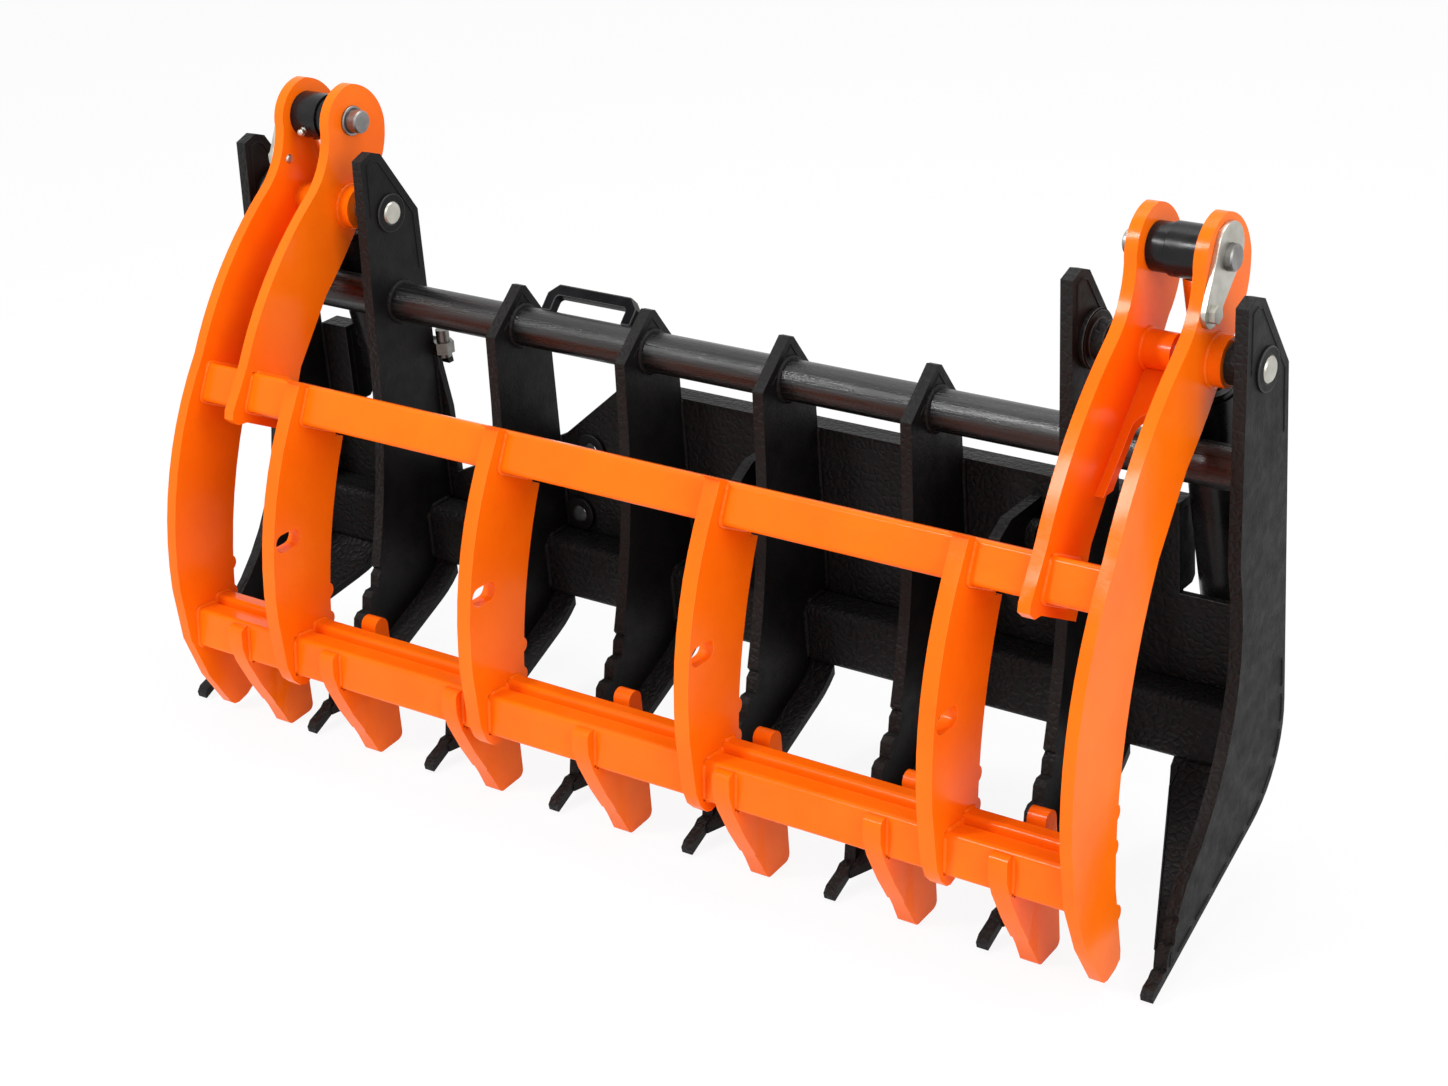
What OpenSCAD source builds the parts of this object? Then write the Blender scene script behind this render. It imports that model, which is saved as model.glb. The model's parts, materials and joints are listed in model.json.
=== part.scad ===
// Grapple rake: a tined rake frame with a hydraulic claw.
// X runs along the width, +Y points back to the loader, +Z is up.
// The claw pivot axis is worked out at y = 0, z = 0 and the whole part is then
// moved so that the origin is the centre of the loader face on the back panel.

/* [Frame] */
// Width over the two outer tine plates
frame_w = 1220; // [1160:1:1300]
// Thickness of a tine plate
tine_t = 12.7; // [10:0.1:14]
// Depth of a tine plate, front edge to rear edge, at the pivot
tine_depth = 90; // [84:1:100]
// Height of an upright above the pivot axis
upright_h = 72; // [64:1:84]
// Radius of the heel of a tine
heel_r = 112; // [95:1:125]
// Height of one step of the serrated front edge
serration_h = 20; // [18:0.5:22]
// Width of a skid flange at the heel of an inner tine
flange_w = 28; // [20:1:40]
// Width of the skid flange at the heel of an end tine
end_flange_w = 84; // [60:1:92]
// Thickness of a skid flange
flange_t = 8; // [6:0.5:10]
// Outer diameter of the top pipe
pipe_d = 42; // [38:1:46]
// Wall of the top pipe
pipe_wall = 4; // [3:0.5:6]
// Height of the lower cross tube
tube_h = 66; // [58:1:76]
// Depth of the lower cross tube
tube_depth = 42; // [36:1:48]
// Wall of the lower cross tube
tube_wall = 5; // [4:0.5:7]

/* [Loader panel] */
// Thickness of the back panel
panel_t = 8; // [6:0.5:10]
// Depth of the flange along the top of the panel
lip_depth = 25; // [20:1:34]
// Height of the down-turned hook at the back of the top flange
lip_hook = 26; // [18:1:34]
// Depth of the lock ledge behind the panel
ledge_depth = 62; // [54:1:76]
// Distance between the centres of the two lock slots
lock_spacing = 700; // [600:5:760]
// Width of a lock slot, front to back
lock_slot_w = 28; // [22:1:32]
// Length of a lock slot, end to end
lock_slot_len = 60; // [50:1:70]
// Outer diameter of a hose grommet
grommet_d = 38; // [34:1:44]
// Bore of a hose grommet
grommet_bore = 18; // [12:1:22]

/* [Claw] */
// Thickness of an arm plate
arm_t = 12.7; // [10:0.1:14]
// Thickness of a rib plate
rib_t = 17; // [14:0.5:20]
// Thickness of a tooth
tooth_t = 20; // [16:0.5:24]
// Gap between an upright and the arm plate beside it
side_gap = 36; // [32:0.5:40]
// Gap between the inner upright and the arm plate beside it
inner_gap = 43.5; // [40:0.5:48]
// Running gap between a rib and the upright beside it
rib_gap = 7.4; // [5:0.1:12]
// Radius of the ear at the top of an arm
ear_r = 42.5; // [41:0.5:45]
// Depth of the upper beam
upper_beam_depth = 58; // [50:1:62]
// Height of the front face of the upper beam
upper_beam_h = 42; // [36:1:46]
// Height of the lower beam
lower_beam_h = 44; // [40:1:46]
// Depth of the lower beam
lower_beam_depth = 29; // [25:1:31]
// Depth of the bar behind the lower beam
back_bar_depth = 22; // [18:1:24]
// Length of the slot in a rib
rib_slot_len = 36; // [28:1:42]
// Width of the slot in a rib
rib_slot_w = 20; // [14:1:24]

/* [Pivots] */
// Diameter of a claw pivot pin
pivot_pin_d = 25; // [22:0.5:28]
// Outer diameter of a claw pivot boss
pivot_boss_d = 36; // [34:0.5:38]
// Outer diameter of the collar on the outer side of an arm
pivot_collar_d = 47; // [44:0.5:50]
// Length of that collar
pivot_collar_len = 15; // [12:0.5:17]
// Outer diameter of a pivot bush
pivot_bush_d = 39; // [36:0.5:44]
// Outer diameter of the flange of a pivot bush
pivot_flange_d = 57; // [50:1:60]
// Thickness of the flange of a pivot bush
pivot_flange_t = 6; // [4:0.5:8]
// Outer diameter of the ring welded round a pivot bore
pivot_ring_d = 42; // [38:0.5:46]
// Thickness of that ring
pivot_ring_t = 3; // [2:0.5:5]
// Diameter of an ear pin
ear_pin_d = 25; // [22:0.5:28]
// Radial clearance of a running fit
running_gap = 0.05; // [0.02:0.01:0.09]
// Clearance between welded or seated pieces
seat_gap = 0.1; // [0.05:0.05:0.2]
// Clearance between a moving piece and its neighbour
move_gap = 0.4; // [0.3:0.1:0.8]

/* [Cylinders] */
// Outer diameter of a cylinder barrel
barrel_d = 54; // [50:1:56]
// Wall of a cylinder barrel
barrel_wall = 4; // [3:0.5:5]
// Diameter of a piston rod
rod_d = 25; // [22:0.5:26]
// Diameter of a rod eye
rod_eye_d = 50; // [46:0.5:54]
// Width of a rod eye
rod_eye_w = 35; // [32:0.5:38]
// Outer diameter of the spacer beside a rod eye
ear_spacer_d = 46; // [42:0.5:50]
// Width of the base eye of a barrel
base_eye_w = 34; // [28:1:38]
// Side play of the rod in the gland, where the linkage is opened
rod_play = 3.4; // [3.2:0.1:4]
// Distance from the base pin to the gland end
barrel_len = 285; // [270:1:292]

/* [Hidden] */

black_paint = [0.09, 0.09, 0.1];
orange_paint = [1, 0.4, 0.05];
plated = [0.75, 0.76, 0.76];
pin_steel = [0.45, 0.46, 0.47];
round_fn = 64;
arc_steps = 10;
tine_count = 8;
pitch = (frame_w - tine_t) / (tine_count - 1);
big = 1000;

// Tine outline, in y and z about the pivot axis
rear_y = 43;
front_y = rear_y - tine_depth;
weld = 1;
front_top = [front_y + 12, upright_h - 6];
crest = [[front_y + 29, upright_h], [front_y + 43, upright_h - 5]];
shoulder = [rear_y, -8];
bend_start = [front_y - 1, -175];
bend_mid = [front_y - 37, -372];
bend_end = [front_y - 102, -444];
tip = [-215, -535];
heel_angle = 23.6;
heel_z = tip[1] + (rear_y - tip[0]) * tan(heel_angle) + 3.5;
heel_tangent = heel_r * tan((90 - heel_angle) / 2);
heel_centre = [rear_y - heel_r, heel_z + heel_tangent];
inner_steps = [-88, -391, 0.865];
end_steps = [-170, -475, 0.76];
low_front_top = [front_y + 2, -100];
low_apex = [[5, -58], [12, -60]];
low_shoulder = [rear_y, -106];

// Cross members of the frame
pipe_c = [1, -101.5];
tube_top_z = -350;
tube_front_y = rear_y - tube_depth;

// Loader panel
panel_top_z = -168.5;
panel_bottom_z = tube_top_z - tube_h;
panel_half_w = frame_w / 2 - tine_t;
face_z = -290;
window_edge_z = [-175, -240, -318, -356];

// Claw pivot, ears and arm places across the width
ear_c = [16, 91.5];
outer_arm_x = frame_w / 2 - tine_t - side_gap - arm_t / 2;
inner_arm_x = frame_w / 2 - pitch + inner_gap + arm_t / 2;
pair_x = (outer_arm_x + inner_arm_x) / 2;
pair_gap = outer_arm_x - inner_arm_x - arm_t;
cylinder_x = outer_arm_x - arm_t / 2 - move_gap - rod_eye_w / 2;
ear_mid = ear_c + [6, -3.5];
outer_rib_x = frame_w / 2 - pitch - tine_t - rib_gap - rib_t / 2;
rib_x = [-outer_rib_x, -outer_rib_x / 3, outer_rib_x / 3, outer_rib_x];
end_tooth_x = frame_w / 2 - pitch + side_gap + arm_t / 2;
tooth_x = [-end_tooth_x, -2 * pitch, -pitch, 0, pitch, 2 * pitch, end_tooth_x];

// Beams: front top corner, and lean of the front face from the vertical
upper_beam_c = [-178, -130];
upper_beam_lean = 28;
lower_beam_c = [-249, -395];
lower_beam_lean = 7;
back_bar_c = [lower_beam_c[0] + lower_beam_depth + 1, lower_beam_c[1] + 4];
back_bar_h = lower_beam_h;

// Cylinders
base_c = [96, -330];
cylinder_run = [base_c[0] - ear_c[0], ear_c[1] - base_c[1]];
cylinder_lean = atan(cylinder_run[0] / cylinder_run[1]);
cylinder_len = norm(cylinder_run);
bracket_t = 10;
bracket_r = 28;
bracket_gap = 1;
base_pin_d = ear_pin_d;
gland_len = 26;

// Points on the circle through a, b and c, from a to c
function circle_centre(a, b, c) =
    let (d = 2 * (a[0] * (b[1] - c[1]) + b[0] * (c[1] - a[1]) + c[0] * (a[1] - b[1])))
    [((a * a) * (b[1] - c[1]) + (b * b) * (c[1] - a[1]) + (c * c) * (a[1] - b[1])) / d,
     ((a * a) * (c[0] - b[0]) + (b * b) * (a[0] - c[0]) + (c * c) * (b[0] - a[0])) / d];
function turn(a) = a - 360 * floor(a / 360);
function arc3(a, b, c, steps = arc_steps) =
    let (m = circle_centre(a, b, c), r = norm(a - m),
         start = atan2(a[1] - m[1], a[0] - m[0]),
         to_b = turn(atan2(b[1] - m[1], b[0] - m[0]) - start),
         to_c = turn(atan2(c[1] - m[1], c[0] - m[0]) - start),
         sweep = to_b < to_c ? to_c : to_c - 360)
    [for (i = [0 : steps]) m + r * [cos(start + sweep * i / steps), sin(start + sweep * i / steps)]];
// Points round a circle from angle a0 to angle a1
function arc(m, r, a0, a1, steps = arc_steps) =
    [for (i = [0 : steps]) m + r * [cos(a0 + (a1 - a0) * i / steps), sin(a0 + (a1 - a0) * i / steps)]];

// Extrudes a y-z outline along X, centred on x
module plate(x, t) {
    translate([x - t / 2, 0, 0]) rotate([90, 0, 90]) linear_extrude(t) children();
}
// A true cylinder along X, centred on x
module bar_x(x, c, len, d) {
    translate([x - len / 2, c[0], c[1]]) rotate([0, 90, 0]) cylinder(h = len, d = d, $fn = round_fn);
}
// A pin along X with bevelled ends, from x0 to x1
pin_bevel = 1.5;
module pin_x(x0, x1, c, d) {
    r = d / 2;
    len = abs(x1 - x0);
    translate([min(x0, x1), c[0], c[1]]) rotate([0, 90, 0]) rotate_extrude($fn = round_fn)
        polygon([[0, 0], [r - pin_bevel, 0], [r, pin_bevel],
                 [r, len - pin_bevel], [r - pin_bevel, len], [0, len]]);
}
module place() {
    translate([0, -rear_y - panel_t, -face_z]) children();
}

// Lower edge of a tine, from the tip to the rear edge
heel_first = -90 + heel_angle;
function heel_points(r, last) = [for (i = [0 : last])
    heel_centre + r * [cos(heel_first * (1 - i / arc_steps)), sin(heel_first * (1 - i / arc_steps))]];
// Steps of the serrated front edge, along a line of [y, z, slope]
function step_y(line, z) = line[0] + (z - line[1]) * line[2];
function step_count(line) = floor((line[1] - tip[1]) / serration_h - 1.9) + 1;
function serrations(line) = let (n = step_count(line)) concat(
    [for (i = [0 : n - 1], p = [[5, 0], [-1, -5], [-4, -serration_h]])
        let (z = line[1] - i * serration_h) [step_y(line, z), z] + p],
    let (z = line[1] - n * serration_h) [[step_y(line, z) + 5, z], [step_y(line, z) - 1, z - 5]],
    [tip + [4, 12], tip + [-1, 6]]);
function bend_y(z) = let (m = circle_centre(bend_start, bend_mid, bend_end), r = norm(bend_start - m))
    m[0] + sqrt(r * r - (z - m[1]) * (z - m[1]));
function tine_front(serrated) = let (stop_z = inner_steps[1] + 5) serrated
    ? concat(arc3(bend_start, bend_mid + [2, 0], [bend_y(stop_z) + 7, stop_z]), serrations(inner_steps))
    : concat(arc3(bend_start, bend_mid, bend_end), [[end_steps[0] + 3, end_steps[1] + 7]],
             serrations(end_steps));

module tine_outline(tall, serrated) {
    top = tall
        ? concat([shoulder, crest[1], crest[0], front_top])
        : concat([low_shoulder, low_apex[1], low_apex[0], low_front_top]);
    polygon(concat([tip], heel_points(heel_r, arc_steps), top, tine_front(serrated)));
}
module flange_band() {
    last = floor(0.6 * arc_steps);
    outer = heel_points(heel_r, last);
    inner = heel_points(heel_r - flange_t, last);
    toe = 16;
    along = (outer[0] - tip) / norm(outer[0] - tip);
    polygon(concat([tip + toe * along], outer, [for (i = [last : -1 : 0]) inner[i]],
                   [tip + toe * along + inner[0] - outer[0]]));
}
module flange(x, side, w) {
    toe_y = tip[0] + 26;
    rear_end = 8;
    base = tine_t / 2 - weld;
    intersection() {
        plate(x + side * (base + w + weld) / 2, w + weld + base) flange_band();
        translate([x + side * tine_t / 2, 0, -big]) linear_extrude(big)
            polygon([[-side * weld, toe_y], [side, toe_y], [side * w, w > flange_w ? 0 : toe_y + w],
                     [side * w, rear_end], [-side * weld, rear_end]]);
    }
}
function tine_x(i) = -frame_w / 2 + tine_t / 2 + (i - 1) * pitch;
function is_tall(i) = i < 3 || i > tine_count - 2;
function is_end(i) = i == 1 || i == tine_count;
module tine(i) {
    side = i == tine_count ? -1 : 1;
    notch_w = 2 * (is_end(i) ? end_flange_w : flange_w) + tine_t;
    color(black_paint) place() difference() {
        union() {
            plate(tine_x(i), tine_t) tine_outline(is_tall(i), !is_end(i));
            flange(tine_x(i), side, is_end(i) ? end_flange_w : flange_w);
        }
        if (!is_end(i)) bar_x(tine_x(i), pipe_c, tine_t + 2, pipe_d + 2 * seat_gap);
        if (is_tall(i)) bar_x(tine_x(i), [0, 0], tine_t + 2, pivot_pin_d + 2 * seat_gap);
        translate([is_end(i) ? tine_x(i) + side * (notch_w + tine_t) / 2 : tine_x(i), 0, 0])
            plate(0, notch_w) translate([tube_front_y - seat_gap, tube_top_z - tube_h - seat_gap])
                square([tube_depth + 2 * seat_gap + 1, tube_h + 2 * seat_gap]);
    }
}

module top_pipe() {
    len = frame_w - 2 * tine_t;
    color(black_paint) place() difference() {
        bar_x(0, pipe_c, len, pipe_d);
        bar_x(0, pipe_c, len + 2, pipe_d - 2 * pipe_wall);
    }
}
module rounded_square(size, r) {
    translate([r, r]) square([size[0] - 2 * r, size[1]]);
    translate([r, 0]) square([size[0] - 2 * r, size[1]]);
    translate([0, r]) square([size[0], size[1] - 2 * r]);
    for (x = [r, size[0] - r], y = [r, size[1] - r]) translate([x, y]) circle(r = r, $fn = 32);
}
module tube_section(size, r, wall) {
    difference() {
        intersection() {
            square(size);
            rounded_square(size, r);
        }
        translate([wall, wall]) square([size[0] - 2 * wall, size[1] - 2 * wall]);
    }
}
module lower_tube() {
    len = frame_w - 2 * tine_t;
    color(black_paint) place() plate(0, len)
        translate([tube_front_y, tube_top_z - tube_h]) tube_section([tube_depth, tube_h], 8, tube_wall);
}

// Back panel with a folded top lip, a hose window and cylinder slots
module window_outline() {
    left = -frame_w / 2 + pitch + tine_t;
    right = left + 1.6 * pitch;
    polygon([[left, panel_top_z + 60], [left, window_edge_z[0]], [left + 12, window_edge_z[1]],
             [left + 14, window_edge_z[2]], [left + 180, window_edge_z[1]],
             [left + 259, window_edge_z[0]], [right, panel_top_z + 12], [right, panel_top_z + 60]]);
}
module panel_profile() {
    square_z = panel_top_z - panel_bottom_z;
    translate([rear_y, panel_bottom_z]) square([panel_t, square_z]);
    translate([rear_y, panel_top_z - panel_t]) square([lip_depth, panel_t]);
    translate([rear_y + lip_depth - panel_t, panel_top_z - lip_hook]) square([panel_t, lip_hook]);
}
module cylinder_slot(x) {
    slot_w = barrel_d + 6;
    slot_low = -262;
    translate([x - slot_w / 2, rear_y - 1, slot_low])
        cube([slot_w, lip_depth + 2, panel_top_z - slot_low + 1]);
}
module back_panel() {
    color(black_paint) place() difference() {
        plate(0, 2 * panel_half_w) panel_profile();
        translate([0, rear_y + lip_depth + 1, 0]) rotate([90, 0, 0])
            linear_extrude(lip_depth + 2) window_outline();
        for (side = [-1, 1]) cylinder_slot(side * cylinder_x);
        for (g = grommets) translate([g[0], rear_y - 1, g[1]]) rotate([-90, 0, 0])
            cylinder(h = panel_t + 2, d = grommet_neck_d + 2 * seat_gap, $fn = round_fn);
    }
}

// Ledge with two lock slots behind the foot of the panel
module lock_ledge() {
    ledge_w = lock_spacing + 3 * lock_slot_len;
    slot_y = rear_y + panel_t + ledge_depth / 2 + 4;
    color(black_paint) place() difference() {
        translate([-ledge_w / 2, rear_y + panel_t, panel_bottom_z]) cube([ledge_w, ledge_depth, panel_t]);
        for (side = [-1, 1], end = [-1, 1])
            translate([side * lock_spacing / 2 + end * (lock_slot_len - lock_slot_w) / 2,
                       slot_y, panel_bottom_z - 1])
                cylinder(h = panel_t + 2, d = lock_slot_w, $fn = round_fn);
        for (side = [-1, 1])
            translate([side * lock_spacing / 2 - (lock_slot_len - lock_slot_w) / 2, slot_y - lock_slot_w / 2,
                       panel_bottom_z - 1])
                cube([lock_slot_len - lock_slot_w, lock_slot_w, panel_t + 2]);
    }
}

// Two stiffening lugs in front of the panel, each with a round boss
lug_x = [0.27 * pitch, 2.02 * pitch];
lug_t = 12;
module stiffener_lugs() {
    color(black_paint) place() for (x = lug_x) {
        plate(x, lug_t)
            polygon([[rear_y, -190], [-16, -192], [-38, -204], [-34, -240], [4, -300], [rear_y, -308]]);
        bar_x(x + lug_t / 2 + 5, [22, -222], 10, 30);
    }
}

// Square bar loop that leans back from the top pipe and keeps the hoses in line
guide_w = 106;
guide_bar = 12.5;
guide_reach = 51;
guide_lean = 45;
module guide_outline() {
    outer = guide_w + guide_bar;
    inner = guide_w - guide_bar;
    corner = 11;
    inside_top = guide_reach - guide_bar;
    difference() {
        polygon([[0, 0], [outer, 0], [outer, guide_reach - corner], [outer - corner, guide_reach],
                 [corner, guide_reach], [0, guide_reach - corner]]);
        translate([guide_bar, -1]) square([inner, inside_top - 4]);
        translate([guide_bar + 5, -1]) square([inner - 10, inside_top + 1]);
        for (x = [guide_bar + 5, guide_bar + inner - 5])
            translate([x, inside_top - 5]) circle(r = 5, $fn = 32);
    }
}
module hose_guide() {
    x0 = (tine_x(3) + tine_x(4) - guide_w - guide_bar) / 2 - 2;
    color(black_paint) place() difference() {
        translate([x0, pipe_c[0], pipe_c[1]]) rotate([90 - guide_lean, 0, 0])
            translate([0, 0, -guide_bar / 2]) linear_extrude(guide_bar) guide_outline();
        bar_x(x0 + guide_w / 2, pipe_c, 2 * guide_w, pipe_d + 2 * seat_gap);
    }
}

// Rubber grommets that line the two hose holes
grommet_neck_d = grommet_d - 10;
grommet_x = tine_x(3) + (tine_t + grommet_d) / 2 + 1;
grommets = [[grommet_x, -331], [grommet_x + 24, -252]];
module hose_grommets() {
    collar_t = 5;
    color(black_paint) place() for (g = grommets) translate([g[0], rear_y, g[1]]) rotate([-90, 0, 0])
        difference() {
            union() {
                translate([0, 0, -collar_t - seat_gap])
                    cylinder(h = collar_t, d = grommet_d, $fn = round_fn);
                translate([0, 0, -seat_gap - 1])
                    cylinder(h = panel_t + 2 * seat_gap + 2, d = grommet_neck_d, $fn = round_fn);
                translate([0, 0, panel_t + seat_gap]) cylinder(h = collar_t, d = grommet_d, $fn = round_fn);
            }
            translate([0, 0, -collar_t - 2])
                cylinder(h = panel_t + 2 * collar_t + 4, d = grommet_bore, $fn = round_fn);
        }
}

// Hydraulic hose fitting held at the upper edge of the hose window
module hydraulic_fitting() {
    hex_d = 24;
    hex_h = 13;
    x = -frame_w / 2 + pitch + tine_t + hex_d / 2 * cos(30) + seat_gap;
    color(plated) place() translate([x, rear_y + panel_t / 2, window_edge_z[0]]) {
        rotate([0, 0, 30]) cylinder(h = hex_h, d = hex_d, $fn = 6);
        translate([0, 0, hex_h - 1]) cylinder(h = 15, d = 15, $fn = round_fn);
        translate([0, 0, -5]) cylinder(h = 6, d = 15, $fn = round_fn);
    }
}

// Bracket behind the panel that carries the base of a cylinder
module cylinder_bracket(side) {
    lug_shift = base_eye_w / 2 + bracket_gap + bracket_t / 2;
    color(black_paint) place() for (s = [-1, 1]) difference() {
        plate(side * cylinder_x + s * lug_shift, bracket_t)
            polygon(concat([[rear_y + panel_t, base_c[1] + bracket_r / 2]],
                           arc(base_c, bracket_r, 110, -70), [[rear_y + panel_t, base_c[1] - 46]]));
        bar_x(side * cylinder_x + s * lug_shift, base_c, bracket_t + 2, base_pin_d + 2 * seat_gap);
    }
}
module base_pin(side) {
    half = base_eye_w / 2 + bracket_gap + bracket_t;
    tail = 7;
    head_t = 5;
    color(pin_steel) place() {
        pin_x(side * (cylinder_x - half - tail), side * (cylinder_x + half + head_t), base_c, base_pin_d);
        bar_x(side * (cylinder_x + half + seat_gap + head_t / 2), base_c, head_t, base_pin_d + 8);
    }
}

// Pins, rings and bushes on the claw pivot axis
module pivot_pin(side) {
    proud = pivot_ring_t + 1.5;
    color(plated) place()
        pin_x(side * (frame_w / 2 + proud), side * (frame_w / 2 - pitch - tine_t - proud),
              [0, 0], pivot_pin_d);
}
module ring_x(x, len, d, bore) {
    difference() {
        bar_x(x, [0, 0], len, d);
        bar_x(x, [0, 0], len + 2, bore);
    }
}
module pivot_rings() {
    faces = [frame_w / 2 + pivot_ring_t / 2, frame_w / 2 - pitch - tine_t - pivot_ring_t / 2];
    color(black_paint) place() for (side = [-1, 1], x = faces)
        ring_x(side * x, pivot_ring_t, pivot_ring_d, pivot_pin_d + 2 * seat_gap);
}
module pivot_bushes() {
    len = side_gap - pivot_collar_len - move_gap;
    faces = [frame_w / 2 - tine_t, frame_w / 2 - pitch];
    color(black_paint) place() for (side = [-1, 1], k = [0, 1]) {
        into = k == 0 ? -1 : 1;
        translate([side * faces[k], 0, 0]) rotate([0, side * into * 90, 0]) rotate_extrude($fn = round_fn)
            polygon([[pivot_pin_d / 2 + seat_gap, 0], [pivot_flange_d / 2, 0],
                     [pivot_flange_d / 2, pivot_flange_t - 1],
                     [pivot_flange_d / 2 - 1, pivot_flange_t], [pivot_bush_d / 2, pivot_flange_t],
                     [pivot_bush_d / 2, len], [pivot_pin_d / 2 + seat_gap, len]]);
    }
}

// Arm, rib and tooth outlines in y and z
arm_front_a = [-58, 24];
arm_front_b = [-120, -31];
arm_front_c = [-184, -120];
arm_front_d = [-245, -235];
arm_front_e = [-268, -366];
arm_foot = [[-264, -427], [-247, -479], [-222, -524], [-217, -528], [-210, -529]];
arm_heel = [[-196, -525], [-187, -519], [-186, -510]];
arm_rear_low = [-193, -440];
arm_rear_mid = [-171, -292];
arm_rear_high = [-108, -149];
arm_rear_neck = [-56, -84];
bump_r = 9;
bump_out = 4;
function arm_front() = concat(arc3(arm_front_a, arm_front_b, arm_front_c),
                              arc3(arm_front_c, arm_front_d, arm_front_e));
function arm_rear() = arc3(arm_rear_low, arm_rear_mid, arm_rear_high);
function rear_y_at(z) =
    let (m = circle_centre(arm_rear_low, arm_rear_mid, arm_rear_high), r = norm(arm_rear_low - m))
    m[0] - sqrt(r * r - (z - m[1]) * (z - m[1]));

module rear_bumps(zs) {
    for (z = zs) translate([rear_y_at(z) - bump_r + bump_out, z]) circle(r = bump_r, $fn = 32);
}
module ear_outline() {
    ear_top = ear_mid + [0, ear_r];
    ear_rear = ear_mid + [ear_r + 1.5, -8];
    ear_front = arc(ear_mid, ear_r, 90, 184, 12);
    neck_front = arc3(ear_front[12], [-32, 52], arm_front_a, 8);
    neck_back = arc3(arm_rear_neck, [1, -28], [38, 18], 8);
    polygon(concat(neck_back, arc3([38, 18], [60, 49], ear_rear, 8),
                   arc3(ear_rear, ear_mid + [0.67 * ear_r, 0.67 * ear_r - 2], ear_top, 12), ear_front,
                   neck_front, arc3(arm_front_a, arm_front_b, arm_front_c), [arm_rear_high]));
}
module arm_outline_outer() {
    ear_outline();
    polygon(concat(arm_front(), arm_foot, arm_heel, arm_rear(), [arm_rear_neck]));
    rear_bumps([-364, -398]);
    translate([-188 - bump_r + bump_out, -468]) circle(r = bump_r, $fn = 32);
}
module arm_outline_inner() {
    nose = [-216, -172];
    ear_outline();
    polygon([arm_front_a, arm_front_c, [-201, -145], [-214, -163], nose, [-208, -180], [-197, -181],
             [-138, -213], arm_rear_high, arm_rear_neck]);
}
module beam_section(corner, lean, depth, h, grow) {
    translate(corner) rotate(-lean) translate([-grow, -h - grow])
        square([depth + 2 * grow, h + 2 * grow]);
}
module beam_cuts() {
    beam_section(upper_beam_c, upper_beam_lean, upper_beam_depth, upper_beam_h, seat_gap);
    beam_section(lower_beam_c, lower_beam_lean, lower_beam_depth, lower_beam_h, seat_gap);
    beam_section(back_bar_c, lower_beam_lean, back_bar_depth, back_bar_h, seat_gap);
}

inner_boss_len = 30;
boss_gap = 4;
module arm(side, outer) {
    x = side * (outer ? outer_arm_x : inner_arm_x);
    out = outer ? side : -side;
    boss_in = outer ? pair_gap - inner_boss_len - boss_gap : inner_boss_len;
    color(orange_paint) place() difference() {
        union() {
            difference() {
                plate(x, arm_t) if (outer) arm_outline_outer(); else arm_outline_inner();
                if (!outer) plate(x, arm_t + 2) beam_cuts();
            }
            bar_x(x + out * (arm_t / 2 + pivot_collar_len) / 2, [0, 0], arm_t / 2 + pivot_collar_len,
                  pivot_collar_d);
            bar_x(x - out * (arm_t / 2 + boss_in) / 2, [0, 0], arm_t / 2 + boss_in, pivot_boss_d);
        }
        bar_x(x, [0, 0], 4 * side_gap + 4 * arm_t, pivot_pin_d + 2 * running_gap);
        bar_x(x, ear_c, arm_t + 2, ear_pin_d + 2 * seat_gap);
        if (outer) bar_x(x, flag_bolt_c, arm_t + 2, flag_bolt_d + 2 * seat_gap);
    }
}

slot_c = [-237, -286];
module rib_outline() {
    top_cut = upper_beam_c + 22 * [-cos(upper_beam_lean), sin(upper_beam_lean)];
    rear_cut = upper_beam_c + upper_beam_depth * [cos(upper_beam_lean), -sin(upper_beam_lean)];
    low_rear = rear_cut - (upper_beam_h + 6) * [sin(upper_beam_lean), cos(upper_beam_lean)];
    lower = arc3(arm_front_c, arm_front_d, arm_front_e);
    polygon(concat([top_cut, arm_front_c + [-6, -6]], [for (i = [1 : arc_steps]) lower[i]],
                   [[-265, -424], [-259, -442], [-250, -452], [-243, -454], [-236, -452], [-224, -443],
                    [-194, -440], [-193, -420]],
                   arc3([-192, -400], arm_rear_mid, [rear_y_at(low_rear[1] - 4), low_rear[1] - 4]),
                   [low_rear, rear_cut, upper_beam_c]));
    rear_bumps([-364, -396]);
}
module rib(i) {
    color(orange_paint) place() difference() {
        plate(rib_x[i - 1], rib_t) rib_outline();
        plate(rib_x[i - 1], rib_t + 2) beam_cuts();
        for (end = [-1, 1]) bar_x(rib_x[i - 1], slot_c + end * [(rib_slot_len - rib_slot_w) / 2, 0],
                                  rib_t + 2, rib_slot_w);
        plate(rib_x[i - 1], rib_t + 2) translate(slot_c - [rib_slot_len - rib_slot_w, rib_slot_w] / 2)
            square([rib_slot_len - rib_slot_w, rib_slot_w]);
    }
}

module beam(corner, lean, depth, h, wall) {
    len = 2 * outer_arm_x - arm_t;
    color(orange_paint) place() plate(0, len)
        translate(corner) rotate(-lean) translate([0, -h]) tube_section([depth, h], 5, wall);
}
module upper_beam() {
    beam(upper_beam_c, upper_beam_lean, upper_beam_depth, upper_beam_h, 5);
}
module lower_beam() {
    beam(lower_beam_c, lower_beam_lean, lower_beam_depth, lower_beam_h, 4);
}
module back_bar() {
    beam(back_bar_c, lower_beam_lean, back_bar_depth, back_bar_h, 4);
}

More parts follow.
